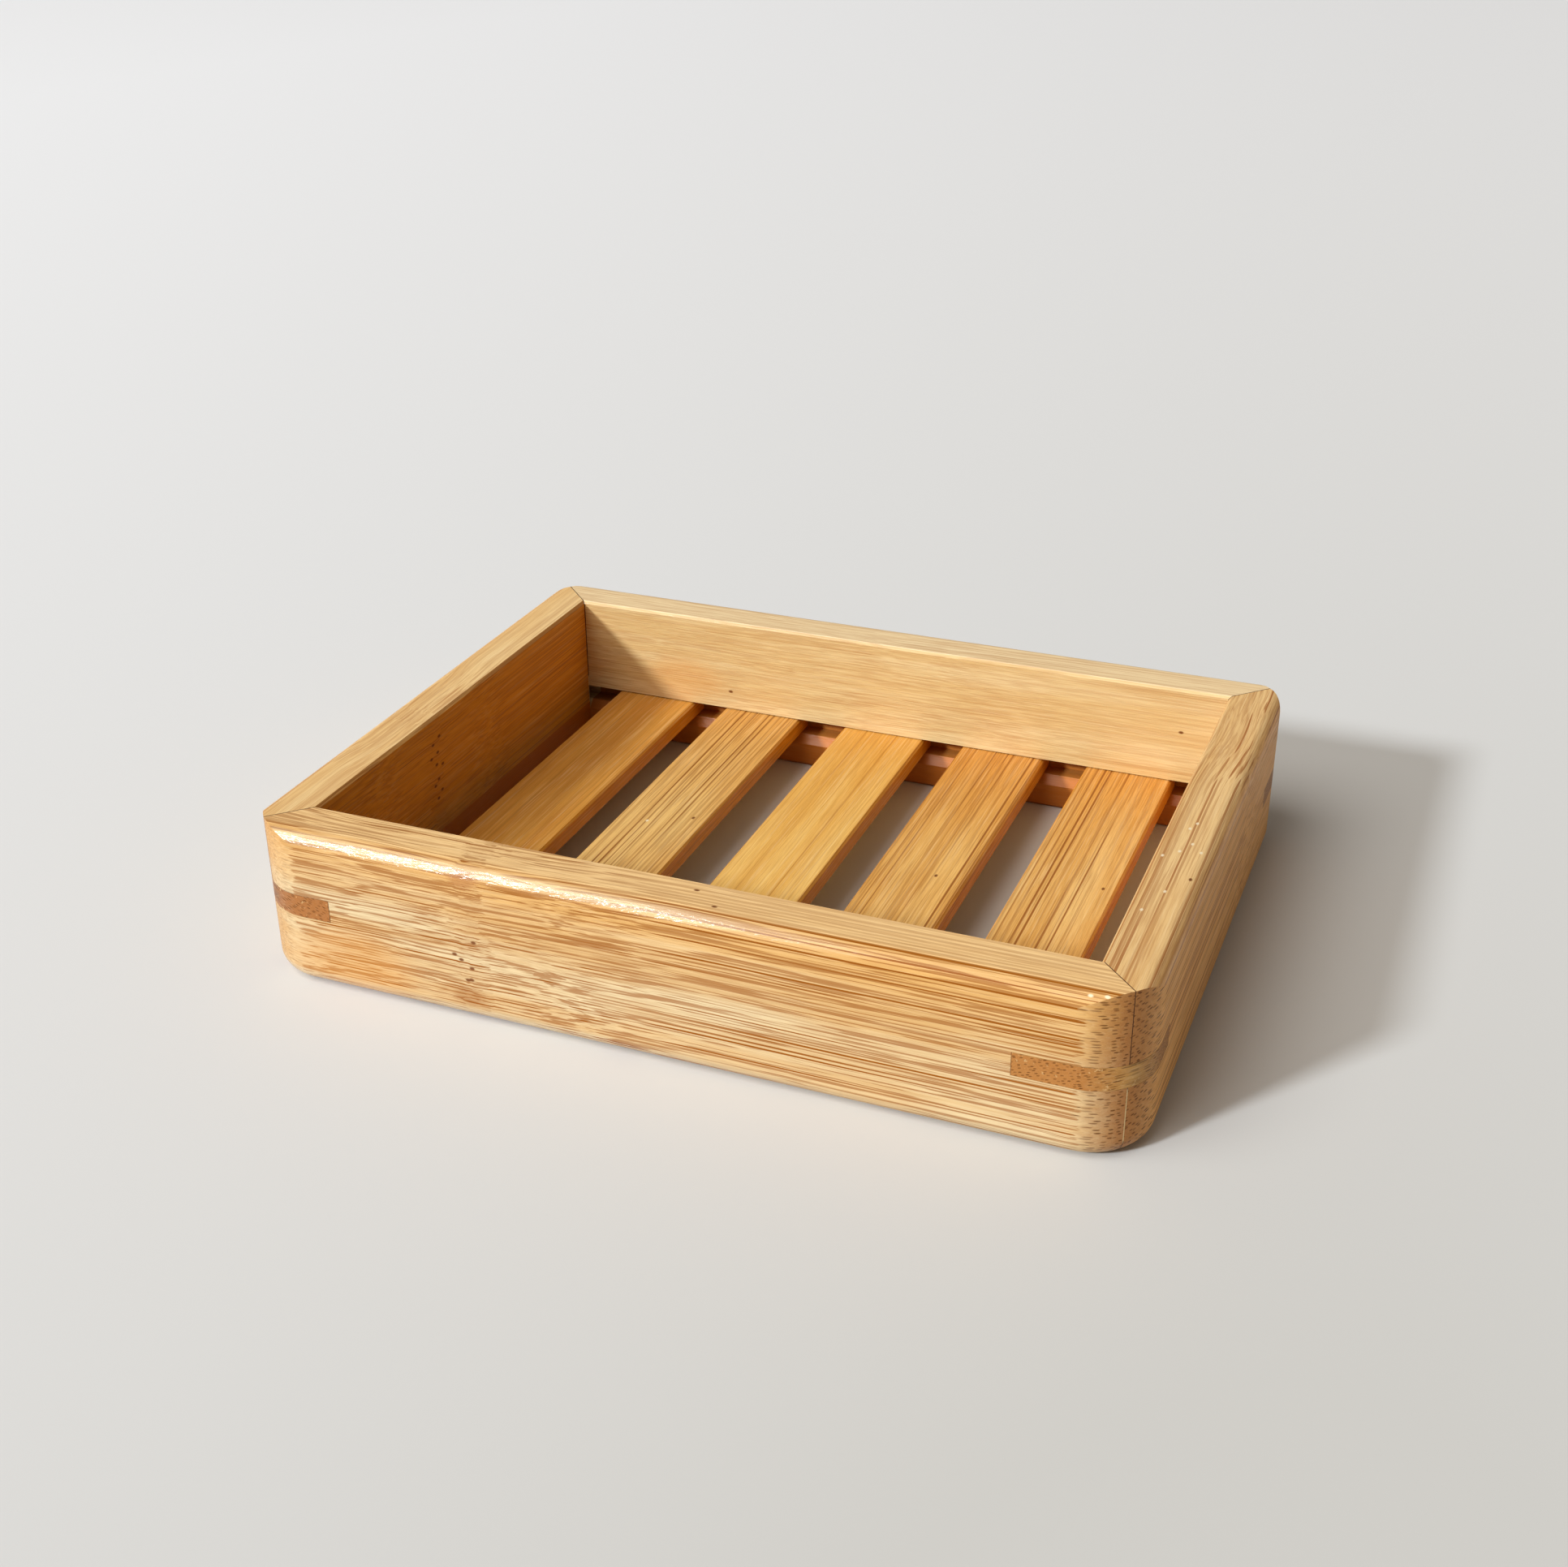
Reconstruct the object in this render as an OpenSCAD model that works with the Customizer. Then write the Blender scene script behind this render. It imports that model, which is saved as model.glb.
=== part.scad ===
// Soap dish: a glued frame of four mitred rails with a key across each corner, and a floor of five
// slats let into grooves in the two long rails. X runs along the length, the front is at -Y, and the
// origin is at the middle of the underside.

/* [Dish] */
// Overall length of the frame
dish_l = 115; // [100:1:160]
// Overall width of the frame, front to back
dish_w = 88; // [70:1:130]
// Overall height of the frame
dish_h = 22; // [20:0.5:32]
// Radius of the upright outer corners, rounded after the frame was glued up
corner_r = 8; // [4:0.5:12]

/* [Rails] */
// Thickness of a rail, from its inner face to its outer face
rail_t = 7.2; // [7:0.1:10]
// Radius of a rail's outer top edge
top_round_r = 2; // [1:0.1:3.5]
// Radius of the outer bottom edge, which was rounded last and so runs on round the corners
foot_round_r = 2.5; // [1:0.1:3.5]
// Chamfer of a rail's inner top and bottom edges
rim_arris = 0.4; // [0.2:0.1:1]

/* [Groove for the slats] */
// Height of the groove's floor above the table
groove_z = 4.8; // [3:0.1:6]
// Depth of the groove into the rail
groove_depth = 4; // [2.5:0.1:5]
// Chamfer of the lip below the groove
lip_arris = 1.2; // [0.2:0.1:2]

/* [Slats] */
// Usual width of a slat
slat_w = 12.7; // [9:0.1:15]
// Thickness of a slat
slat_t = 2.7; // [2:0.1:3.5]
// Chamfer along a slat's four long edges
slat_arris = 0.3; // [0.1:0.1:0.8]

/* [Corner keys] */
// Thickness of a key
key_t = 3; // [1.5:0.1:3.5]
// Wood left on the mitre between a kerf and the frame's inside corner
key_web = 0.7; // [0.5:0.1:3]
// How far the saw's fence was off 45 degrees, turned the same way at every corner
key_turn = 6; // [0:1:8]

/* [Fits] */
// Room above a slat in its groove
slat_fit = 0.15; // [0.05:0.05:0.3]
// Room left for the slats to swell lengthwise, at each end
slat_end_fit = 0.4; // [0.1:0.1:0.8]
// Glue line on every side of a key
key_fit = 0.05; // [0.02:0.01:0.2]

/* [Hidden] */
$fn = 96;
// How far every cut runs past what it cuts
overrun = 1;
// Inside of the frame
well_l = dish_l - 2 * rail_t;
well_w = dish_w - 2 * rail_t;
groove_h = slat_t + slat_fit;
// The slats as they were set by hand, from left to right: each one's width as a share of the usual
// width, and how far it sits to the right of its even place as a share of the even gap
slat_width_shares = [1.02, 0.98, 1.01, 0.99, 0.99];
slat_drift_shares = [-0.09, -0.25, -0.09, -0.13, -0.12];
slat_count = len(slat_width_shares);
slat_gap = (well_l - slat_count * slat_w) / (slat_count + 1);
slat_pitch = slat_w + slat_gap;
slat_l = well_w + 2 * (groove_depth - slat_end_fit);
// How deep a kerf and a key reach along the mitre, from the sharp corner that the rounding took away
kerf_reach = rail_t * sqrt(2) - key_web;
key_reach = kerf_reach - key_fit / cos(key_turn);
kerf_t = key_t + 2 * key_fit;
// How far each key sits above the middle of the frame's height, as a share of its thickness
FRONT_LEFT = 0;
FRONT_RIGHT = 1;
BACK_RIGHT = 2;
BACK_LEFT = 3;
key_rise_shares = [0.17, 0, 0, 0];
rail_tone = "#d8ab66";
key_tone = "#8f5a2c";
slat_tones = ["#c58f4c", "#dcb06a", "#dfb36c", "#dbaa62", "#d89b50"];

// What a rounding cutter takes off a square edge, with the rounding's centre at the origin
module edge_waste(r) {
    difference() {
        square(r + overrun);
        circle(r);
    }
}

// Section of a rail: x runs from its inner face outwards, y runs up from the table
module rail_section(grooved) {
    difference() {
        square([rail_t, dish_h]);
        translate([rail_t - top_round_r, dish_h - top_round_r]) edge_waste(top_round_r);
        translate([0, dish_h]) edge_chamfer(rim_arris);
        mirror([0, 1]) edge_chamfer(rim_arris);
        if (grooved) {
            translate([-overrun, groove_z]) square([groove_depth + overrun, groove_h]);
            translate([0, groove_z]) edge_chamfer(lip_arris);
        }
    }
}

// What rounding the foot takes off a frame of the given length and width, along its +y side and
// round that side's two corners
module foot_waste(length, width) {
    translate([0, width / 2 - foot_round_r, foot_round_r])
        rotate([90, 0, 90])
            linear_extrude(length - 2 * corner_r, center = true)
                mirror([0, 1]) edge_waste(foot_round_r);
    for (side = [0, 1])
        mirror([side, 0, 0])
            translate([length / 2 - corner_r, width / 2 - corner_r, foot_round_r])
                rotate_extrude(angle = 90)
                    translate([corner_r - foot_round_r, 0]) mirror([0, 1]) edge_waste(foot_round_r);
}

// What a chamfer takes off an upper edge at the origin that faces -x
module edge_chamfer(size) {
    polygon([
        [-overrun, overrun],
        [-overrun, -size - overrun],
        [size + overrun, overrun]
    ]);
}

// Plan of the whole dish, with its rounded corners
module outline(length, width) {
    square([length - 2 * corner_r, width], center = true);
    square([length, width - 2 * corner_r], center = true);
    for (side_x = [-1, 1], side_y = [-1, 1])
        translate([side_x * (length / 2 - corner_r), side_y * (width / 2 - corner_r)]) circle(corner_r);
}

// Plan of the rail on the +y side between its two mitres
module mitre_plan(length, width) {
    polygon([
        [-length / 2, width / 2],
        [length / 2, width / 2],
        [length / 2 - rail_t, width / 2 - rail_t],
        [-length / 2 + rail_t, width / 2 - rail_t]
    ]);
}

// Corner triangle whose inner edge crosses the mitre the given reach from the square corner, which
// is at the origin with its faces towards +x and +y; it runs past both faces by the given length
module corner_triangle(reach, past) {
    depth = reach / sqrt(2);
    run_x = depth * (1 + tan(45 - key_turn));
    run_y = depth * (1 + 1 / tan(45 - key_turn));
    polygon([
        [past, past],
        [-run_x * (1 + past / run_y), past],
        [past, -run_y * (1 + past / run_x)]
    ]);
}

// Underside of a flat piece of the given thickness at the height of the corner's key
function key_foot_z(corner, thickness) =
    dish_h / 2 + key_rise_shares[corner] * key_t - thickness / 2;

// Flat kerf sawn through the square corner at the origin
module kerf(corner) {
    translate([0, 0, key_foot_z(corner, kerf_t)])
        linear_extrude(kerf_t) corner_triangle(kerf_reach, overrun);
}

// Rail on the +y side of a frame of the given length and width, between the named corners
module rail(length, width, grooved, left_corner, right_corner) {
    difference() {
        intersection() {
            translate([0, width / 2 - rail_t, 0])
                rotate([90, 0, 90])
                    linear_extrude(length, center = true) rail_section(grooved);
            linear_extrude(dish_h)
                intersection() {
                    mitre_plan(length, width);
                    outline(length, width);
                }
        }
        foot_waste(length, width);
        translate([-length / 2, width / 2, 0]) rotate([0, 0, 90]) kerf(left_corner);
        translate([length / 2, width / 2, 0]) kerf(right_corner);
    }
}

// Key in the corner at +x and +y of a frame of the given length and width, flush with its rounding
module corner_key(length, width, corner) {
    translate([0, 0, key_foot_z(corner, key_t)])
        linear_extrude(key_t)
            intersection() {
                translate([length / 2, width / 2]) corner_triangle(key_reach, 0);
                outline(length, width);
            }
}

// End view of a slat of the given width, resting on y = 0
module slat_section(width) {
    half = width / 2;
    polygon([
        [-half + slat_arris, 0],
        [half - slat_arris, 0],
        [half, slat_arris],
        [half, slat_t - slat_arris],
        [half - slat_arris, slat_t],
        [-half + slat_arris, slat_t],
        [-half, slat_t - slat_arris],
        [-half, slat_arris]
    ]);
}

module front_rail() {
    color(rail_tone) rotate([0, 0, 180]) rail(dish_l, dish_w, true, FRONT_RIGHT, FRONT_LEFT);
}

module back_rail() {
    color(rail_tone) rail(dish_l, dish_w, true, BACK_LEFT, BACK_RIGHT);
}

module left_rail() {
    color(rail_tone) rotate([0, 0, 90]) rail(dish_w, dish_l, false, FRONT_LEFT, BACK_LEFT);
}

module right_rail() {
    color(rail_tone) rotate([0, 0, -90]) rail(dish_w, dish_l, false, BACK_RIGHT, FRONT_RIGHT);
}

module key_front_left() {
    color(key_tone) rotate([0, 0, 180]) corner_key(dish_l, dish_w, FRONT_LEFT);
}

module key_front_right() {
    color(key_tone) rotate([0, 0, -90]) corner_key(dish_w, dish_l, FRONT_RIGHT);
}

module key_back_left() {
    color(key_tone) rotate([0, 0, 90]) corner_key(dish_w, dish_l, BACK_LEFT);
}

module key_back_right() {
    color(key_tone) corner_key(dish_l, dish_w, BACK_RIGHT);
}

// Slat by its number from the left, its ends in the grooves of the two long rails
module slat(number) {
    even_x = (number - (slat_count + 1) / 2) * slat_pitch;
    color(slat_tones[number - 1])
        translate([even_x + slat_drift_shares[number - 1] * slat_gap, 0, groove_z])
            rotate([90, 0, 0])
                linear_extrude(slat_l, center = true)
                    slat_section(slat_w * slat_width_shares[number - 1]);
}

front_rail();
back_rail();
left_rail();
right_rail();
key_front_left();
key_front_right();
key_back_left();
key_back_right();
slat(1);  // slat_1
slat(2);  // slat_2
slat(3);  // slat_3
slat(4);  // slat_4
slat(5);  // slat_5
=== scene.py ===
import math
from dataclasses import dataclass
from functools import partial

import bpy
from mathutils import Matrix, Vector


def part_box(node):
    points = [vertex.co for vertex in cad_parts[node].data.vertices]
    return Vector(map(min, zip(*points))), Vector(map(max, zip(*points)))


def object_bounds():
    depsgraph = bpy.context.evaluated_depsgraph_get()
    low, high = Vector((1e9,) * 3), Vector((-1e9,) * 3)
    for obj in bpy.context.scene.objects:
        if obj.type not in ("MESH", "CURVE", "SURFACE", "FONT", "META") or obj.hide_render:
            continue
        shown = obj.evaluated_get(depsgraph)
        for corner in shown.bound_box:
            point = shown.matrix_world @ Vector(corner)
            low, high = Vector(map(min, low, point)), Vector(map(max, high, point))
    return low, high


# Soap dish of laminated bamboo: four mitred rails, a darker key across each corner and five slats, all
# sanded and lacquered. It stands on a white table top, in daylight from the front left.

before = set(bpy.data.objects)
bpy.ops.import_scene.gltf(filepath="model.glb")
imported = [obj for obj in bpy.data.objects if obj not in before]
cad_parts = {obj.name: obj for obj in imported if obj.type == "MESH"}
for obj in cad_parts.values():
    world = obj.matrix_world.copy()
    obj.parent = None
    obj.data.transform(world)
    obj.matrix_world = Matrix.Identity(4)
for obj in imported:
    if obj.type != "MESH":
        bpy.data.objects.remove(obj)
cad_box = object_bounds()

MM = 0.001
# Sizes of the dish, in mm
HALF_LENGTH = cad_box[1].x / MM
HALF_WIDTH = cad_box[1].y / MM
HEIGHT = cad_box[1].z / MM
WELL_HALF_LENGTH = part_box("right_rail")[0].x / MM
WELL_HALF_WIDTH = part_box("back_rail")[0].y / MM
SLAT_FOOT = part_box("slat_1")[0].z / MM
SLAT_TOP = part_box("slat_1")[1].z / MM
SLAT_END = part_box("slat_1")[1].y / MM
KEY_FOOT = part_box("key_front_right")[0].z / MM

# Sockets of a Mix node that mixes colours, and the setting that lets a Map Range node ease in and out
SHARE, UNDER, OVER = 0, 6, 7
SMOOTH = {"interpolation_type": "SMOOTHSTEP"}
# Axes of a place, and the two sides of a wall along one of them
X, Y, Z = range(3)
BELOW, ABOVE = 0, 1

# From one bundle of hard fibre to the next, across a strip and through it, in mm
BUNDLE_SPREAD = (0.7, 0.42)
# Kinds of streaks in the grain: their length along the fibres and their width, in mm, and the levels of
# noise between which they come in
THREADS = (18, 0.34, 0.52, 0.59)
BREAKS = (9, 0.5, 0.4, 0.5)
FINE_FIBRES = (5, 0.18, 0.38, 0.62)
SOFT_FIBRES = (12, 0.26, 0.5, 0.7)
CLUMPS = (70, 2.2, 0.36, 0.56)
BANDS = (130, 3.4, 0.36, 0.64)
PATCHES = (30, 18, 0.4, 0.7)
BORDER = (4, 0.6, 0.35, 0.65)
RIPPLE = (1.6, 0.32, 0.3, 0.7)
SWELL = (8, 1.6, 0.3, 0.7)
# Over what length the fibres leave the straight, and how far, in mm
RAGGED_LENGTH = 1.8
WANDER_LENGTH = 60
SWIRL_SIZE = (7, 7, 24)
SWIRL_BEND = (2, 0.6, 1)
KNUCKLE_HALF_WIDTH = 2.6
KNUCKLE_RAGGEDNESS = 6
KNOT_BEND = 0.2
# From one board to the next in the block of grain that all are sawn from, in mm
CUT_STEP = (31, 17, 97)
# How deep sanding left the soft fibres, and how uneven the lacquer lies, in mm
RELIEF_DEPTH = 0.02
FILM_DEPTH = 0.05
# Coat weight of the lacquer on flat faces, and on rounded edges at a board's far end
FACE_COAT = 0.12
FAR_COAT = 0.2
# Where along a board, or how high on it, some colours and the thick lacquer come in or fade, in mm
FAR_FADE = (0, 38)
SKIN_RISE = (12, 20)
TOP_RISE = (HEIGHT - 0.16, HEIGHT - 0.02)
# Where the painted highlight on a rounded upper edge fades along the board
PAINTED_HIGHLIGHT_FADE = (-5, 26)
POLISH_FADE = (0, 32)
ENDS_FADE = (-10, 10)
# Sine of the angle at which the surface cuts the fibres: where end grain begins and is whole, the same for
# its darker ground, and how far its border wavers
END_SLOPE = (0.12, 0.18)
END_GROUND_SLOPE = (0.1, 0.7)
BORDER_WAVER = 0.09
# Radius of a bundle's end, from where it begins to fade to where it ends, as a share of the spread
END_DOT_RADIUS = (0.17, 0.28)
# Half width of the line along a mitre, and how high from the foot it is an open gap, each from where it
# begins to fade to where it ends, in mm
MITRE_LINE = (0.08, 0.16)
FOOT_GAP = (1.8, 2.4)
# How strongly the painted shade in the groove and on its lip shows, and how wide the lip is, in mm
GROOVE_SHADE_SHARE = 0.9
LIP_WIDTH = 1.2

# Colours that all the boards share
PALE_FIBRE = "#fbe5b8"
# Painted highlight: a pale cream laid on rounded upper edges
PAINTED_HIGHLIGHT = "#ffeec6"
END_GROUND = "#a86a32"
END_DOT = "#5e3204"
GLUE_GAP = "#3a1c04"
GLUE = "#dcc08c"
# Painted shade, a deep orange, in the groove for the slats and on the lip below it
PAINTED_GROOVE_SHADE = "#b46a1c"
PAINTED_LIP_SHADE = "#bc660c"
FILLER = "#d9b078"
# Radius in mm, colour and share of the smallest marks
PINHOLE = (0.3, "#74401a", 0.95)
FLECK = (0.26, "#f6e6c4", 0.8)
# What a distance along the fibres counts in a mark, which is drawn out that way
MARK_DRAW = 0.6

# The table top's left, right, front and back edges, in metres. It ends soon on the lamps' side, the left
# and the front: one that ran on towards them would mirror them, and look blank white from behind the dish.
TABLE_EDGES = (-1.3, 6, -0.8, 6)
# How far the table top lies below the dish's foot, in mm, so that the two don't share a plane
TABLE_DROP = 0.02
# Painted light fall-off on the table top: where its painted shade is deepest, in metres, what a distance
# counts from side to side and from front to back, and how far off its white begins to grow and is whole
PAINTED_SHADE_CENTRE = (0.084, -0.2114, 0)
PAINTED_SHADE_DRAW = (1, 0.35, 0)
PAINTED_SHADE_FADE = (0.05, 0.75)
# Colours of the table top, where its painted shade is deepest and where its white is whole
LAMINATE_IN_PAINTED_SHADE = "#cdccc9"
WHITE_LAMINATE = "#eeeff2"
# How far off both lamps stand, in metres
LAMP_DISTANCE = 12
# Colours of the room: its light, what the lacquer mirrors of it, on the right too, and what the camera sees
ROOM_LIGHT = "#80786e"
ROOM_MIRRORED = "#8c8983"
DIM_SIDE = "#443c33"
BACKDROP = "#e4e3e0"


@dataclass
class Board:
    """One strip of bamboo as it came off the pile: how its fibres run, its colours and its marks."""
    turn: float  # direction of the fibres in plan, in degrees from +X
    cut: int  # which stretch of the grain it was sawn from
    pale: str  # ground colour where the wood is soft
    deep: str  # ground colour where it is hard
    bundle: str  # the bundles of hard fibre that run through it
    bundle_share: float = 0.6  # how strongly the bundles show
    thread_share: float = 0.55  # the same for the fine threads between them
    spread: tuple = BUNDLE_SPREAD
    core: tuple = (0.29, 0.37)  # where a bundle begins and ends to fade, as a share of the spread
    lean: float = 0  # how far its layers lean over, in degrees
    wander: float = 0.3  # how far the bundles wander off straight, in mm
    swirls: tuple = ()  # where they break up into dashes: place along the fibres and half length, in mm
    knuckles: tuple = ()  # places of growth rings along the fibres, in mm
    ends: tuple = (1, 1)  # how dark its end grain is at either end
    skin: str = ""  # colour of the hard wood near its upper edge, where that shows
    top: str = ""  # colour of the layer on its upper face, if that differs
    top_share: float = 1  # how strongly the bundles show on its upper face
    painted_highlight_share: float = 0  # how strongly a painted highlight, pale cream on its rounded upper edge, shows; it fades towards its far end
    inside: str = ""  # colour on its side towards the well's middle, if that differs: painted shade, a saturated orange that stands in for the shade on that side
    outside: str = ""  # the same for its side away from the middle: painted shade, a saturated orange, on the right rail and the slats; on the back rail the outer face's own colour
    far: str = ""  # colour that it deepens to towards its far end, if it does
    polish: float = 0.5  # how thick the lacquer lies on its rounded edges
    marks: tuple = ()  # small spots: place in mm, radius in mm, colour and share


def linear(colour):
    """Linear RGBA of an sRGB hex colour."""
    channels = [int(colour[i:i + 2], 16) / 255 for i in (1, 3, 5)]
    return (*[c / 12.92 if c <= 0.04045 else ((c + 0.055) / 1.055) ** 2.4 for c in channels], 1)


def add(tree, kind, inputs, out=0, **settings):
    """Adds one node with its settings and links, and returns one of its outputs."""
    node = tree.nodes.new("ShaderNode" + kind)
    for name, value in settings.items():
        setattr(node, name, value)
    for key, value in inputs.items():
        if isinstance(value, bpy.types.NodeSocket):
            tree.links.new(value, node.inputs[key])
        else:
            node.inputs[key].default_value = value
    return node.outputs[out] if node.outputs else None


def new_material(name):
    """An empty material and its node tree."""
    material = bpy.data.materials.new(name)
    material.use_nodes = True
    material.node_tree.nodes.clear()
    return material, material.node_tree


def stain(tree, ground, *stains):
    """Lays stains over the ground colour one after another. Each is given as the share that it covers, or
    as that share's factors, and its colour."""
    for share, *factors, colour in stains:
        for factor in factors:
            share = add(tree, "Math", {0: share, 1: factor}, operation="MULTIPLY")
        inputs = {SHARE: share, UNDER: ground, OVER: linear(colour)}
        ground = add(tree, "Mix", inputs, out=2, data_type="RGBA")
    return ground


def streaks(tree, grain, length, width, low, high):
    """Soft streaks along the fibres, of the given length and width in mm: 0 where their noise is under
    low, 1 where it is over high."""
    node = partial(add, tree)
    drawn_out = node("VectorMath", {0: grain, 1: (1 / width, 1 / width, 1 / length)}, operation="MULTIPLY")
    noise = node("TexNoise", {"Vector": drawn_out, "Scale": 1, "Detail": 2, "Roughness": 0.55})
    return node("MapRange", {"Value": noise, "From Min": low, "From Max": high}, **SMOOTH)


def nearness(tree, along, places):
    """1 at the given places along the fibres and 0 from each one's half length on."""
    node = partial(add, tree)
    nearest = 0
    for place, half_length in places:
        away = node("Math", {0: along, 1: place}, operation="SUBTRACT")
        away = node("Math", {0: away}, operation="ABSOLUTE")
        near = node("MapRange", {"Value": away, "From Min": 0.3 * half_length, "From Max": half_length,
                                 "To Min": 1, "To Max": 0}, **SMOOTH)
        nearest = node("Math", {0: nearest, 1: near}, operation="MAXIMUM")
    return nearest


def within(tree, share, *walls):
    """The share between all the given walls and 0 past them. A wall is a coordinate, where along it the
    wall begins and ends, and the side of it that is within."""
    node = partial(add, tree)
    for value, low, high, side in walls:
        inside = node("MapRange", {"Value": value, "From Min": low, "From Max": high,
                                   "To Min": 1 - side, "To Max": side}, **SMOOTH)
        share = node("Math", {0: share, 1: inside}, operation="MULTIPLY")
    return share


def board_axes(tree, board, point):
    """The board's own axes, with X along its fibres and Z up, which way its surface faces along them, and
    its grain, in which the fibres run along Z."""
    node = partial(add, tree)
    turn = math.radians(-board.turn)
    axes = node("VectorRotate", {"Vector": point, "Angle": turn}, rotation_type="Z_AXIS")
    axes = node("SeparateXYZ", {0: axes}).node.outputs
    facing = node("TexCoord", {}, out="Normal")
    facing = node("VectorRotate", {"Vector": facing, "Angle": turn}, rotation_type="Z_AXIS")
    facing = node("SeparateXYZ", {0: facing}).node.outputs
    grain = node("CombineXYZ", {0: axes["Y"], 1: axes["Z"], 2: axes["X"]})
    if board.lean:
        lean = math.radians(board.lean)
        grain = node("VectorRotate", {"Vector": grain, "Angle": lean}, rotation_type="Z_AXIS")
    stretch = [step * board.cut for step in CUT_STEP]
    return axes, facing, node("VectorMath", {0: grain, 1: stretch}, operation="ADD")


def growth_rings(tree, board, axes, ragged):
    """1 on the board's growth rings, which run across the fibres with a ragged border."""
    node = partial(add, tree)
    along = node("Math", {0: ragged, 1: KNUCKLE_RAGGEDNESS, 2: axes["X"]}, operation="MULTIPLY_ADD")
    along = node("Math", {0: along, 1: KNUCKLE_RAGGEDNESS / 2}, operation="SUBTRACT")
    return nearness(tree, along, [(place, KNUCKLE_HALF_WIDTH) for place in board.knuckles])


def bent_fibres(tree, board, grain, ragged, swirl, knuckle):
    """The grain with its fibres off straight: they wander a little everywhere, more in a swirl, and are
    knotted at a growth ring."""
    node = partial(add, tree)
    bend = node("TexNoise", {"Vector": grain, "Scale": 1 / WANDER_LENGTH, "Detail": 2}, out="Color")
    sway = (2 * board.wander,) * 3
    fibre = node("VectorMath", {0: bend, 1: sway, 2: grain}, operation="MULTIPLY_ADD")
    if board.swirls:
        shrink = [1 / size for size in SWIRL_SIZE]
        eddy = node("VectorMath", {0: grain, 1: shrink}, operation="MULTIPLY")
        eddy = node("TexNoise", {"Vector": eddy, "Scale": 1, "Detail": 1}, out="Color")
        eddy = node("VectorMath", {0: eddy, 1: SWIRL_BEND}, operation="MULTIPLY")
        eddy = node("VectorMath", {0: eddy, "Scale": swirl}, operation="SCALE")
        fibre = node("VectorMath", {0: fibre, 1: eddy}, operation="ADD")
    if board.knuckles:
        knotted = node("Math", {0: knuckle, 1: KNOT_BEND}, operation="MULTIPLY")
        knot = node("VectorMath", {0: ragged, "Scale": knotted}, operation="SCALE")
        fibre = node("VectorMath", {0: fibre, 1: knot}, operation="ADD")
    return fibre


def bundle_cells(tree, board, fibre):
    """Cells round the bundles of hard fibre: how far off its bundle a point lies, as a share of the
    spread, and how dark that bundle is."""
    node = partial(add, tree)
    across, through = board.spread
    cells = node("VectorMath", {0: fibre, 1: (1 / across, 1 / through, 1)}, operation="MULTIPLY")
    cell = node("TexVoronoi", {"Vector": cells, "Scale": 1, "Randomness": 0.7}, voronoi_dimensions="2D")
    cell = cell.node.outputs
    return cell["Distance"], node("SeparateXYZ", {0: cell["Color"]})


def hard_lines(tree, board, fibre, swirl, upper, off_bundle, tone):
    """Lines of hard fibre along a face: the bundles, in clumps and broken up in a swirl, and the fine
    threads between them. They are fainter on a calm upper face."""
    node = partial(add, tree)
    thinner = node("Math", {0: swirl, 1: 0.09, 2: off_bundle}, operation="MULTIPLY_ADD")
    core = node("MapRange", {"Value": thinner, "From Min": board.core[0], "From Max": board.core[1],
                             "To Min": 1, "To Max": 0}, **SMOOTH)
    clumps = streaks(tree, fibre, *CLUMPS)
    breaks = streaks(tree, fibre, *BREAKS)
    breaks = node("Math", {0: breaks, 1: 1}, operation="SUBTRACT")
    breaks = node("Math", {0: breaks, 1: swirl, 2: 1}, operation="MULTIPLY_ADD")
    shown = node("MapRange", {"Value": clumps, "To Min": 0.4, "To Max": 1})
    strong = node("MapRange", {"Value": tone, "From Max": 0.6, "To Min": 0.6})
    shown = node("Math", {0: shown, 1: strong}, operation="MULTIPLY")
    shown = node("Math", {0: shown, 1: breaks}, operation="MULTIPLY")
    threads = streaks(tree, fibre, *THREADS)
    threads = node("Math", {0: threads, 1: board.thread_share}, operation="MULTIPLY")
    if board.top_share < 1:
        calm = node("MapRange", {"Value": swirl, "To Min": board.top_share, "To Max": 0.85})
        calm = node("MapRange", {"Value": upper, "To Min": 1, "To Max": calm})
        shown = node("Math", {0: shown, 1: calm}, operation="MULTIPLY")
        threads = node("Math", {0: threads, 1: calm}, operation="MULTIPLY")
    bundles = node("Math", {0: core, 1: shown}, operation="MULTIPLY")
    return node("Math", {0: bundles, 1: threads}, operation="MAXIMUM")


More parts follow.
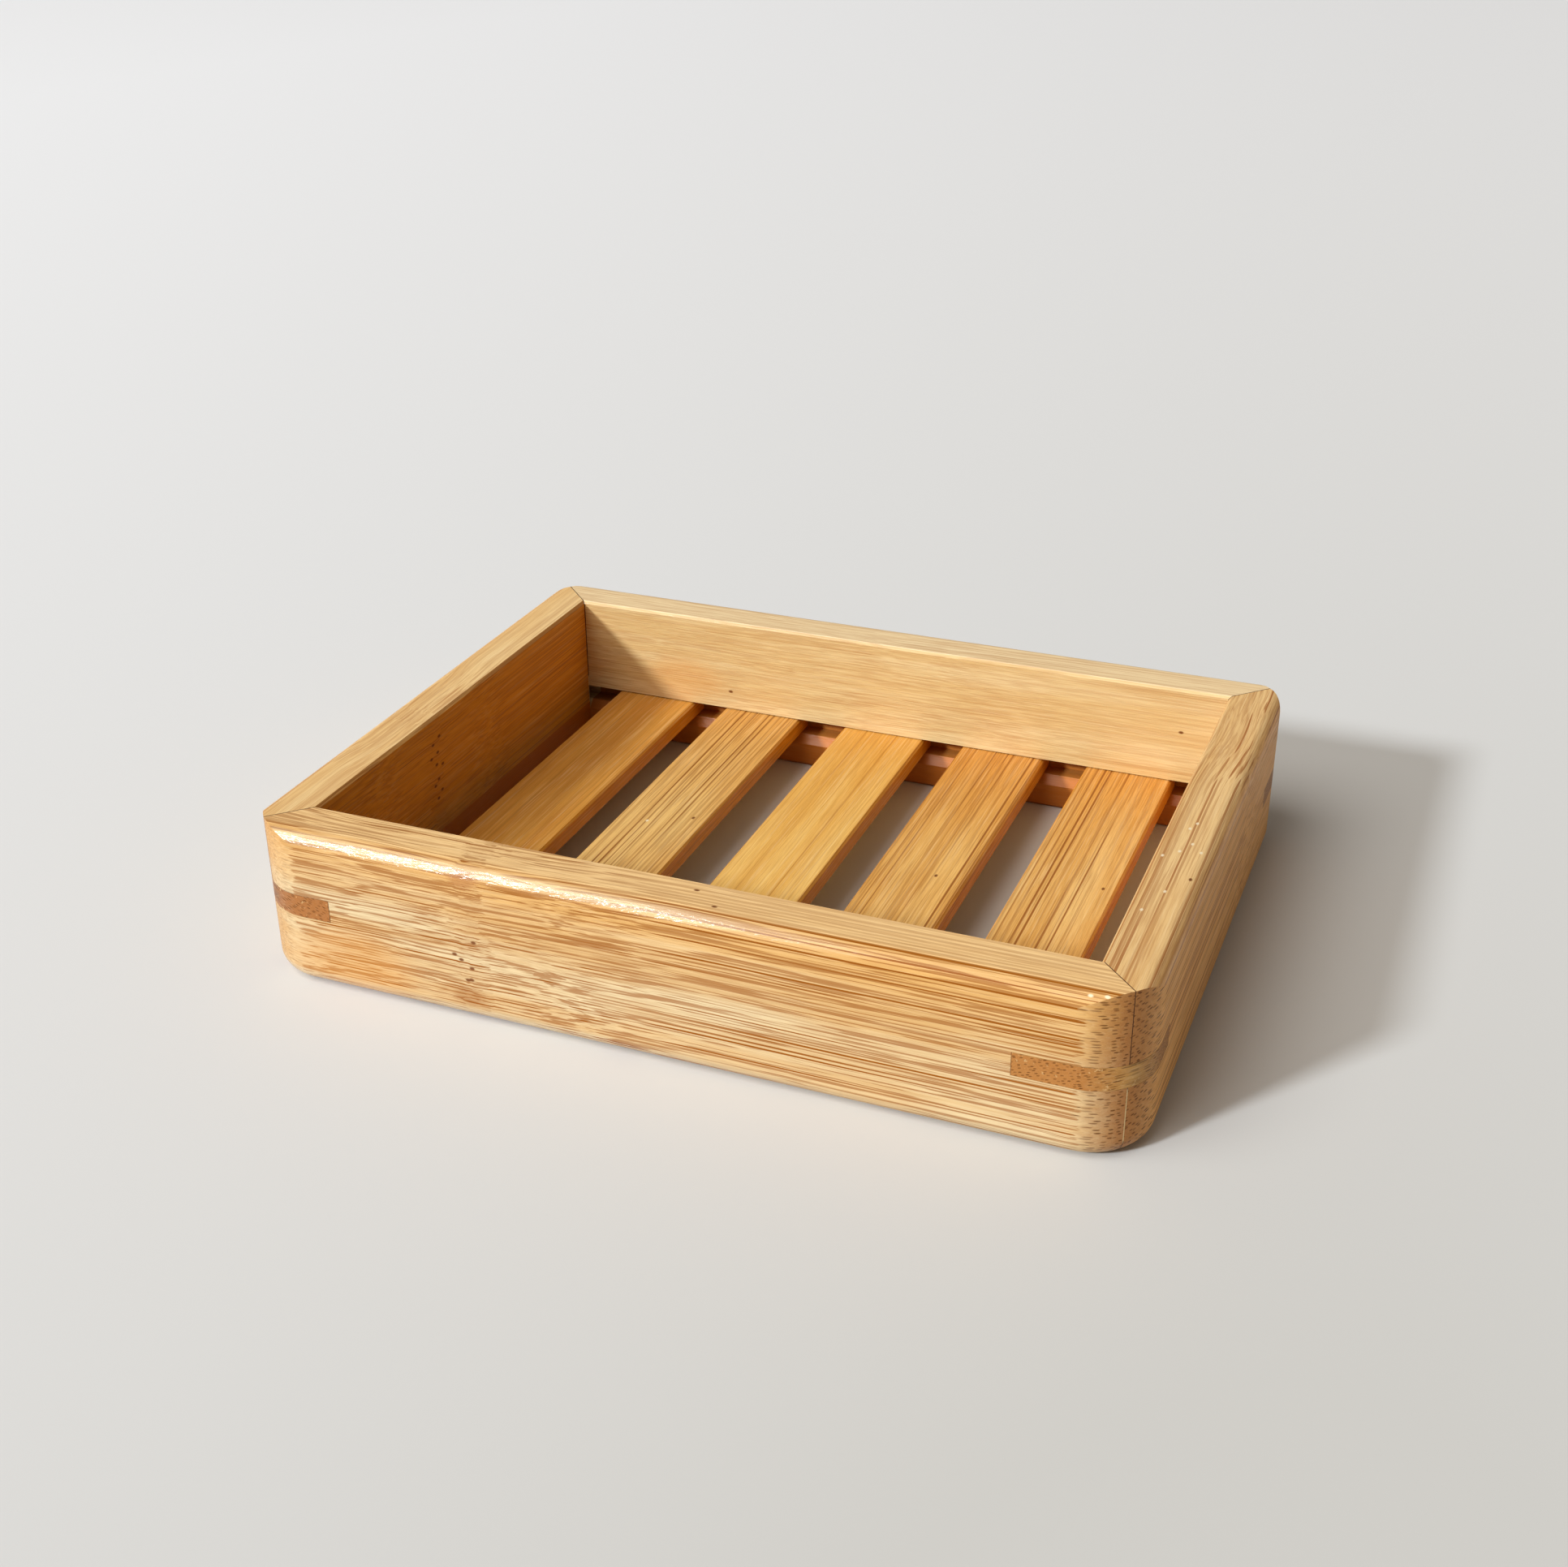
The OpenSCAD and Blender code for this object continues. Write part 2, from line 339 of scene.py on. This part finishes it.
def end_cut(tree, board, axes, facing, grain, off_bundle, tone):
    """Where the surface cuts across the fibres: 1 there, the bundles' ends as dots and dashes, and the
    darker ground between them."""
    node = partial(add, tree)
    across = node("Math", {0: facing["X"]}, operation="ABSOLUTE")
    border = streaks(tree, grain, *BORDER)
    across = node("Math", {0: border, 1: BORDER_WAVER, 2: across}, operation="MULTIPLY_ADD")
    end_grain = node("MapRange", {"Value": across, "From Min": END_SLOPE[0], "From Max": END_SLOPE[1]},
                     **SMOOTH)
    share = node("MapRange", {"Value": axes["X"], "From Min": ENDS_FADE[0], "From Max": ENDS_FADE[1],
                              "To Min": board.ends[0], "To Max": board.ends[1]})
    share = node("Math", {0: share, 1: end_grain}, operation="MULTIPLY")
    dashes = node("MapRange", {"Value": tone, "To Min": 0.5})
    dots = node("MapRange", {"Value": off_bundle, "From Min": END_DOT_RADIUS[0],
                             "From Max": END_DOT_RADIUS[1], "To Min": 1, "To Max": 0}, **SMOOTH)
    dashes = node("Math", {0: dashes, 1: dots}, operation="MULTIPLY")
    dashes = node("Math", {0: dashes, 1: share}, operation="MULTIPLY")
    ground = node("MapRange", {"Value": across, "From Min": END_GROUND_SLOPE[0],
                               "From Max": END_GROUND_SLOPE[1], "To Max": 0.85})
    ground = node("Math", {0: ground, 1: share}, operation="MULTIPLY")
    return end_grain, dashes, ground


def ground_colour(tree, board, axes, facing, grain, fibre, upper):
    """Colour of the soft ground, in bands and patches, and of the layers that show on some faces, with
    painted shade on some sides.
    """
    node = partial(add, tree)
    bands = streaks(tree, fibre, *BANDS)
    patches = streaks(tree, grain, *PATCHES)
    colour = stain(tree, linear(board.pale), (bands, 0.6, board.deep), (patches, 0.4, board.deep))
    for tint, value, (low, high) in ((board.far, axes["X"], FAR_FADE), (board.skin, axes["Z"], SKIN_RISE)):
        if tint:
            share = node("MapRange", {"Value": value, "From Min": low, "From Max": high, "To Max": 0.6},
                         **SMOOTH)
            colour = stain(tree, colour, (share, tint))
    if board.top:
        colour = stain(tree, colour, (upper, 0.7, board.top))
    # Painted shade: a saturated orange on sides that face towards or away from the well's middle; the back
    # rail's outer face takes its own colour this way instead
    side = node("Math", {0: axes["Y"]}, operation="SIGN")
    outward = node("Math", {0: side, 1: facing["Y"]}, operation="MULTIPLY")
    for way, tint in ((-1, board.inside), (1, board.outside)):
        if tint:
            side_shade_or_colour = node("MapRange", {"Value": outward, "From Min": 0.4 * way, "From Max": 0.95 * way,
                                      "To Max": 0.88}, **SMOOTH)
            colour = stain(tree, colour, (side_shade_or_colour, tint))
    return colour


def painted_edge_highlight(tree, board, axes, facing, colour):
    """Painted highlight: pale cream laid on the rounded upper edge, where the lamp's sheen falls. It fades
    along the board.
    """
    node = partial(add, tree)
    edge = node("MapRange", {"Value": facing["Z"], "From Min": 0.2, "From Max": 0.55}, **SMOOTH)
    not_flat = node("MapRange", {"Value": facing["Z"], "From Min": 0.8, "From Max": 0.99,
                                 "To Min": 1, "To Max": 0}, **SMOOTH)
    fading = node("MapRange", {"Value": axes["X"], "From Min": PAINTED_HIGHLIGHT_FADE[0], "From Max": PAINTED_HIGHLIGHT_FADE[1],
                               "To Min": board.painted_highlight_share, "To Max": 0}, **SMOOTH)
    return stain(tree, colour, (edge, not_flat, fading, PAINTED_HIGHLIGHT))


def spotted(tree, board, point, colour):
    """The colour with the board's marks on it, each drawn out along the fibres."""
    node = partial(add, tree)
    drawn_out = (MARK_DRAW, 1, 1) if board.turn == 0 else (1, MARK_DRAW, 1)
    for spot, radius, tint, share in board.marks:
        away = node("VectorMath", {0: point, 1: spot}, operation="SUBTRACT")
        away = node("VectorMath", {0: away, 1: drawn_out}, operation="MULTIPLY")
        away = node("VectorMath", {0: away}, out="Value", operation="LENGTH")
        near = node("MapRange", {"Value": away, "From Min": 0.4 * radius, "From Max": radius,
                                 "To Min": share, "To Max": 0}, **SMOOTH)
        colour = stain(tree, colour, (near, tint))
    return colour


def lacquered(tree, board, axes, facing, grain, lines, fibres, colour):
    """Satin clear lacquer over sanded wood. Sanding left the soft ground a little lower than the hard
    bundles, and the lacquer, thickest on the rounded edges, follows both and sparkles there."""
    node = partial(add, tree)
    ripple = streaks(tree, grain, *RIPPLE)
    swell = streaks(tree, grain, *SWELL)
    height = node("Math", {0: lines, 1: 0.5, 2: fibres}, operation="MULTIPLY_ADD")
    height = node("Math", {0: ripple, 1: 0.6, 2: height}, operation="MULTIPLY_ADD")
    relief = node("Bump", {"Height": height, "Strength": 0.5, "Distance": RELIEF_DEPTH * MM})
    thick = node("MapRange", {"Value": axes["X"], "From Min": POLISH_FADE[0], "From Max": POLISH_FADE[1],
                              "To Min": board.polish, "To Max": FAR_COAT})
    rounded = node("Math", {0: facing["Z"]}, operation="ABSOLUTE")
    rounded = node("Math", {0: rounded, 1: 0.5}, operation="SUBTRACT")
    rounded = node("Math", {0: rounded}, operation="ABSOLUTE")
    coat = node("MapRange", {"Value": rounded, "From Min": 0.2, "From Max": 0.48,
                             "To Min": thick, "To Max": FACE_COAT}, **SMOOTH)
    film = node("Math", {0: swell, 1: 2.5, 2: ripple}, operation="MULTIPLY_ADD")
    film = node("Math", {0: film, 1: coat}, operation="MULTIPLY")
    film = node("Bump", {"Height": film, "Strength": 1, "Distance": FILM_DEPTH * MM})
    roughness = node("MapRange", {"Value": fibres, "To Min": 0.42, "To Max": 0.55})
    return node("BsdfPrincipled", {
        "Base Color": colour, "Roughness": roughness, "IOR": 1.45, "Specular IOR Level": 0.15,
        "Normal": relief, "Coat Weight": coat, "Coat Roughness": 0.22, "Coat IOR": 1.5, "Coat Normal": film,
    })


def bamboo(name, board, finish=None):
    """Sanded and clear-lacquered bamboo strip. Hard bundles of fibre run through a golden ground: they
    show as fine lines along a face, and as dark dots and dashes where the surface cuts across them."""
    material, tree = new_material(name)
    node = partial(add, tree)
    place = node("TexCoord", {}, out="Object")
    point = node("VectorMath", {0: place, "Scale": 1 / MM}, operation="SCALE")
    axes, facing, grain = board_axes(tree, board, point)
    ragged = node("TexNoise", {"Vector": grain, "Scale": 1 / RAGGED_LENGTH, "Detail": 2}, out="Color")
    ragged_axes = node("SeparateXYZ", {0: ragged}).node.outputs
    swirl = nearness(tree, axes["X"], board.swirls)
    knuckle = growth_rings(tree, board, axes, ragged_axes["X"])
    fibre = bent_fibres(tree, board, grain, ragged, swirl, knuckle)
    upper = node("MapRange", {"Value": axes["Z"], "From Min": TOP_RISE[0], "From Max": TOP_RISE[1]},
                 **SMOOTH)

    off_bundle, tone = bundle_cells(tree, board, fibre)
    lines = hard_lines(tree, board, fibre, swirl, upper, off_bundle, tone)
    end_grain, dashes, end_ground = end_cut(tree, board, axes, facing, grain, off_bundle, tone)
    along_face = node("Math", {0: 1, 1: end_grain}, operation="SUBTRACT")
    lines = node("Math", {0: lines, 1: along_face}, operation="MULTIPLY")
    fibres = streaks(tree, fibre, *FINE_FIBRES)
    fibre_share = node("MapRange", {"Value": swirl, "To Min": 0.16, "To Max": 0.26})
    soft_fibres = streaks(tree, fibre, *SOFT_FIBRES)

    colour = stain(
        tree, ground_colour(tree, board, axes, facing, grain, fibre, upper),
        (fibres, fibre_share, board.bundle), (soft_fibres, 0.15, PALE_FIBRE),
        (lines, board.bundle_share, board.bundle), (end_ground, END_GROUND), (dashes, 0.85, END_DOT),
    )
    # Painted highlight on the rounded upper edge
    if board.painted_highlight_share:
        colour = painted_edge_highlight(tree, board, axes, facing, colour)
    if board.knuckles:
        colour = stain(tree, colour, (knuckle, 0.1, board.bundle))
    colour = spotted(tree, board, point, colour)
    if finish:
        colour = finish(tree, point, ragged_axes["Z"], colour)
    shader = lacquered(tree, board, axes, facing, grain, lines, fibres, colour)
    node("OutputMaterial", {"Surface": shader})
    return material


def rail_joints(tree, point, cloud, colour):
    """What the joints leave on a rail: a thin line along each mitre, an open gap that is dark on top, pale
    with glue below the key and open again at the foot, and painted shade, a deep orange, in the groove for
    the slats and on its lip."""
    node = partial(add, tree)
    size = node("VectorMath", {0: point}, operation="ABSOLUTE")
    axes = node("SeparateXYZ", {0: size}).node.outputs
    from_end = node("Math", {0: axes["X"], 1: HALF_LENGTH}, operation="SUBTRACT")
    from_side = node("Math", {0: axes["Y"], 1: HALF_WIDTH}, operation="SUBTRACT")
    off_mitre = node("Math", {0: from_end, 1: from_side}, operation="SUBTRACT")
    off_mitre = node("Math", {0: off_mitre}, operation="ABSOLUTE")
    off_mitre = node("Math", {0: cloud, 1: 0.08, 2: off_mitre}, operation="MULTIPLY_ADD")
    line = node("MapRange", {"Value": off_mitre, "From Min": MITRE_LINE[0], "From Max": MITRE_LINE[1],
                             "To Min": 1, "To Max": 0}, **SMOOTH)
    below_key = node("MapRange", {"Value": axes["Z"], "From Min": KEY_FOOT - 0.5, "From Max": KEY_FOOT,
                                  "To Min": 1, "To Max": 0})
    open_foot = node("MapRange", {"Value": axes["Z"], "From Min": FOOT_GAP[0], "From Max": FOOT_GAP[1],
                                  "To Min": 1, "To Max": 0})
    glue = stain(tree, linear(GLUE_GAP), (below_key, GLUE), (open_foot, GLUE_GAP))
    colour = node("Mix", {SHARE: line, UNDER: colour, OVER: glue}, out=2, data_type="RGBA")
    along_well = (axes["X"], WELL_HALF_LENGTH, WELL_HALF_LENGTH + 0.1, BELOW)
    # Painted shade in the groove for the slats and on the lip below it
    groove = within(
        tree, GROOVE_SHADE_SHARE, along_well,
        (axes["Y"], WELL_HALF_WIDTH, WELL_HALF_WIDTH + 0.1, ABOVE),
        (axes["Y"], SLAT_END + 0.5, SLAT_END + 0.7, BELOW),
        (axes["Z"], SLAT_FOOT - 0.06, SLAT_FOOT - 0.02, ABOVE),
        (axes["Z"], SLAT_TOP + 0.2, SLAT_TOP + 0.24, BELOW),
    )
    lip = within(
        tree, GROOVE_SHADE_SHARE,
        (axes["Y"], WELL_HALF_WIDTH + LIP_WIDTH, WELL_HALF_WIDTH + LIP_WIDTH + 0.2, BELOW),
        (axes["Z"], SLAT_FOOT - 0.06, SLAT_FOOT, BELOW),
        along_well,
    )
    return stain(tree, colour, (groove, PAINTED_GROOVE_SHADE), (lip, PAINTED_LIP_SHADE))


def key_flecks(tree, point, cloud, colour):
    """Pale flecks of filler where the kerf was a little ragged."""
    node = partial(add, tree)
    specks = node("TexNoise", {"Vector": point, "Scale": 1 / 0.5, "Detail": 2})
    specks = node("MapRange", {"Value": specks, "From Min": 0.6, "From Max": 0.66}, **SMOOTH)
    some = node("MapRange", {"Value": cloud, "From Min": 0.45, "From Max": 0.6, "To Max": 0.6}, **SMOOTH)
    return stain(tree, colour, (specks, some, FILLER))


def on_face(axis, level, *places):
    """Places on a flat face that lies at the given level of one axis, from their other two coordinates."""
    return tuple((*place[:axis], level, *place[axis:]) for place in places)


def pinholes(*places):
    """Small dark pores at the given places in mm."""
    return tuple((place, *PINHOLE) for place in places)


def flecks(*places):
    """Specks of bare pale wood at the given places in mm."""
    return tuple((place, *FLECK) for place in places)


KEY = {"pale": "#e1b46c", "deep": "#bc8440", "bundle": "#5a3212", "spread": (0.7, 0.34), "lean": 20}
# The slats' sides carry painted shade, a saturated orange
SLAT = {"spread": (0.8, 17), "core": (0.12, 0.24), "wander": 0.1, "thread_share": 0.35,
        "inside": "#e49208", "outside": "#e49208"}
RAILS = {
    "front_rail": Board(
        0, 1, "#dec79c", "#cf9e5c", "#945206", bundle_share=1, thread_share=0.68, swirls=((-34, 38),),
        # It carries a painted highlight, pale cream, on its rounded upper edge
        knuckles=(-25,), ends=(0.35, 1), skin="#dda455", top="#ffd79a", top_share=0.4, painted_highlight_share=0.25, polish=0.9,
        marks=(
            ((-43, -HALF_WIDTH, 4.5), 7, "#dc9440", 0.3),
            ((-25.7, -HALF_WIDTH, 20.2), 1.6, "#9a4a1c", 0.4),
            ((-26.2, -HALF_WIDTH, 3.6), 1.8, "#94541c", 0.4),
            *flecks((50.7, -43.4, 21.5), (52.5, -43.2, 21.6)),
            *pinholes(*on_face(Z, HEIGHT, (2.8, -38.9), (6.2, -41.6))),
            *pinholes(*on_face(Y, -HALF_WIDTH, (-24.9, 11.6), (-27.7, 9.4), (-26.8, 8.8), (-25.4, 7.8),
                               (-26.1, 6), (-25.6, 6.1))),
        )),
    "back_rail": Board(
        0, 2, "#e4c994", "#d7b171", "#a8682c", bundle_share=0.35, swirls=((-20, 60),), top="#f8deb2",
        outside="#e0b06a",
        marks=(
            ((-33.2, WELL_HALF_WIDTH, 11.3), 5, "#d9903f", 0.3),
            *pinholes(*on_face(Y, WELL_HALF_WIDTH, (44.1, 15.4), (-25.6, 10.5))),
        )),
    "left_rail": Board(
        90, 3, "#f3d196", "#e2b270", "#a65f22", swirls=((-9, 22),), knuckles=(-9,), top_share=0.5,
        # Its inner face carries painted shade, a saturated orange
        inside="#e09200",
        marks=pinholes(*on_face(X, -WELL_HALF_LENGTH, (-7.9, 18.8), (-9.6, 18.1), (-8.6, 16.6),
                                (-10.3, 16.2), (-9.1, 14.9), (-7.6, 14.4), (-8.9, 12.6), (-9.9, 11.9),
                                (-8.3, 10.7), (-9.4, 9.8)))),
    "right_rail": Board(
        90, 4, "#eec98e", "#dcaa68", "#9a5418", bundle_share=0.8, thread_share=0.35, wander=0.2, lean=35,
        # Its outer face carries painted shade, a saturated orange
        swirls=((30, 22),), outside="#f3b261", polish=0.3,
        marks=(
            ((HALF_LENGTH, 31.3, 10.3), 0.9, "#6a3c1c", 0.6),
            *pinholes(*on_face(Z, HEIGHT, (55.7, -15.9))),
            *flecks(*on_face(Z, HEIGHT, (53.7, -1.9), (53.1, -3.5), (54.2, -7.3), (53.1, -9.6), (55.6, -9.1),
                             (51.4, -11.3), (53.5, -19.7), (51.9, -24.7))),
        )),
}
KEYS = {
    "key_front_left": Board(-39, 5, "#ae7850", "#80502a", "#3c1c08", spread=(0.8, 0.3), lean=35),
    "key_front_right": Board(51, 6, **KEY),
    "key_back_left": Board(51, 7, **KEY),
    "key_back_right": Board(-39, 8, **KEY),
}
SLATS = {
    "slat_1": Board(90, 9, "#d89a44", "#bc7a2e", "#8f5a1c", bundle_share=0.4, **SLAT),
    "slat_2": Board(
        90, 10, "#eabe74", "#d59c50", "#84490f", bundle_share=0.9, far="#cf8c34", **SLAT,
        marks=(
            *pinholes(*on_face(Z, SLAT_TOP, (-16.4, 1.9))),
            *flecks(*on_face(Z, SLAT_TOP, (-22.1, -1.1), (-14.2, -6.3))),
        )),
    "slat_3": Board(90, 11, "#f2c470", "#dfa348", "#a8661c", bundle_share=0.5, far="#d08c2c", **SLAT),
    "slat_4": Board(90, 12, "#eab86a", "#d0903e", "#8f521a", bundle_share=0.9, far="#cf842c", **SLAT,
                    marks=pinholes(*on_face(Z, SLAT_TOP, (20.2, -1.4)))),
    "slat_5": Board(90, 13, "#ecc078", "#d69a48", "#8f4f14", bundle_share=0.9, far="#d08420", **SLAT,
                    marks=pinholes(*on_face(Z, SLAT_TOP, (41.6, 3.1)))),
}


def dress_pieces():
    """Gives every piece its own board."""
    for boards, finish in ((RAILS, rail_joints), (KEYS, key_flecks), (SLATS, None)):
        for name, board in boards.items():
            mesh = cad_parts[name].data
            mesh.materials.clear()
            mesh.materials.append(bamboo("lacquered_bamboo_" + name, board, finish))


def white_laminate():
    """Matt white laminate, a pale plain ground that takes a soft shadow. Painted shade dims it gently
    towards the front right, as light falls off across a big top away from the window."""
    material, tree = new_material("matt_white_laminate")
    node = partial(add, tree)
    place = node("TexCoord", {}, out="Object")
    # Painted shade, growing away from the brightest spot towards the front right
    away = node("VectorMath", {0: place, 1: PAINTED_SHADE_CENTRE}, operation="SUBTRACT")
    away = node("VectorMath", {0: away, 1: PAINTED_SHADE_DRAW}, operation="MULTIPLY")
    away = node("VectorMath", {0: away}, out="Value", operation="LENGTH")
    away = node("Math", {0: away, 1: math.e}, operation="LOGARITHM")
    low, high = (math.log(distance) for distance in PAINTED_SHADE_FADE)
    white = node("MapRange", {"Value": away, "From Min": low, "From Max": high})
    colour = stain(tree, linear(LAMINATE_IN_PAINTED_SHADE), (white, WHITE_LAMINATE))
    shader = node("BsdfPrincipled", {"Base Color": colour, "Roughness": 0.8, "IOR": 1.45,
                                     "Specular IOR Level": 0.15})
    node("OutputMaterial", {"Surface": shader})
    return material


def table_top():
    """The top that the dish stands on."""
    left, right, front, back = TABLE_EDGES
    mesh = bpy.data.meshes.new("table_top")
    corners = [(left, front, 0), (right, front, 0), (right, back, 0), (left, back, 0)]
    mesh.from_pydata(corners, [], [(0, 1, 2, 3)])
    mesh.materials.append(white_laminate())
    table = bpy.data.objects.new("table_top", mesh)
    table.location.z = -TABLE_DROP * MM
    bpy.context.scene.collection.objects.link(table)


def soft_lamp(name, towards, width, share, colour):
    """A round soft lamp of the given width in metres. Of the light that makes a white table top come out
    white, it gives the given share."""
    lamp = bpy.data.lights.new(name, "AREA")
    lamp.shape = "DISK"
    lamp.size = width
    lamp.color = linear(colour)[:3]
    direction = Vector(towards).normalized()
    lamp.energy = share * math.pi ** 2 * LAMP_DISTANCE ** 2 / direction.z
    light = bpy.data.objects.new(name, lamp)
    light.location = direction * LAMP_DISTANCE
    light.rotation_euler = direction.to_track_quat("Z", "Y").to_euler()
    bpy.context.scene.collection.objects.link(light)


def room_light():
    """Dim light from all round, with a pale backdrop for the camera and a room that is darker on the right
    for the lacquer to mirror."""
    world = bpy.data.worlds.new("room")
    bpy.context.scene.world = world
    world.use_nodes = True
    tree = world.node_tree
    tree.nodes.clear()
    node = partial(add, tree)
    seen = node("LightPath", {}, out="Is Camera Ray")
    mirrored = node("LightPath", {}, out="Is Glossy Ray")
    to_right = node("SeparateXYZ", {0: node("TexCoord", {}, out="Generated")})
    dim_side = node("MapRange", {"Value": to_right, "From Min": -0.3, "From Max": 0.5}, **SMOOTH)
    dim_side = node("Math", {0: dim_side, 1: mirrored}, operation="MULTIPLY")
    colour = stain(tree, linear(ROOM_LIGHT), (mirrored, ROOM_MIRRORED), (dim_side, DIM_SIDE),
                   (seen, BACKDROP))
    background = node("Background", {"Color": colour, "Strength": 1})
    node("OutputWorld", {"Surface": background})


def take_camera():
    """The camera stands to the right of the front and looks down at the dish."""
    place = Vector((87.95, -221.495, 138.952)) * MM
    azimuth, elevation, roll = (math.radians(angle) for angle in (22.086, 27.133, -0.524))
    lens = bpy.data.cameras.new("camera")
    lens.sensor_width = 36
    lens.lens = 45.89
    lens.clip_start = 0.01
    camera = bpy.data.objects.new("camera", lens)
    turn = Matrix.Rotation(azimuth, 4, "Z") @ Matrix.Rotation(math.pi / 2 - elevation, 4, "X")
    camera.matrix_world = Matrix.Translation(place) @ turn @ Matrix.Rotation(roll, 4, "Z")
    bpy.context.scene.collection.objects.link(camera)
    bpy.context.scene.camera = camera


dress_pieces()
table_top()
soft_lamp("window_light", towards=(-0.51, -0.725, 0.455), width=1.46, share=0.455, colour="#f2f9ff")
soft_lamp("ceiling_light", towards=(-0.36, -0.44, 0.82), width=9.2, share=0.475, colour="#fffcf6")
room_light()
take_camera()
bpy.context.scene.view_settings.view_transform = "Standard"
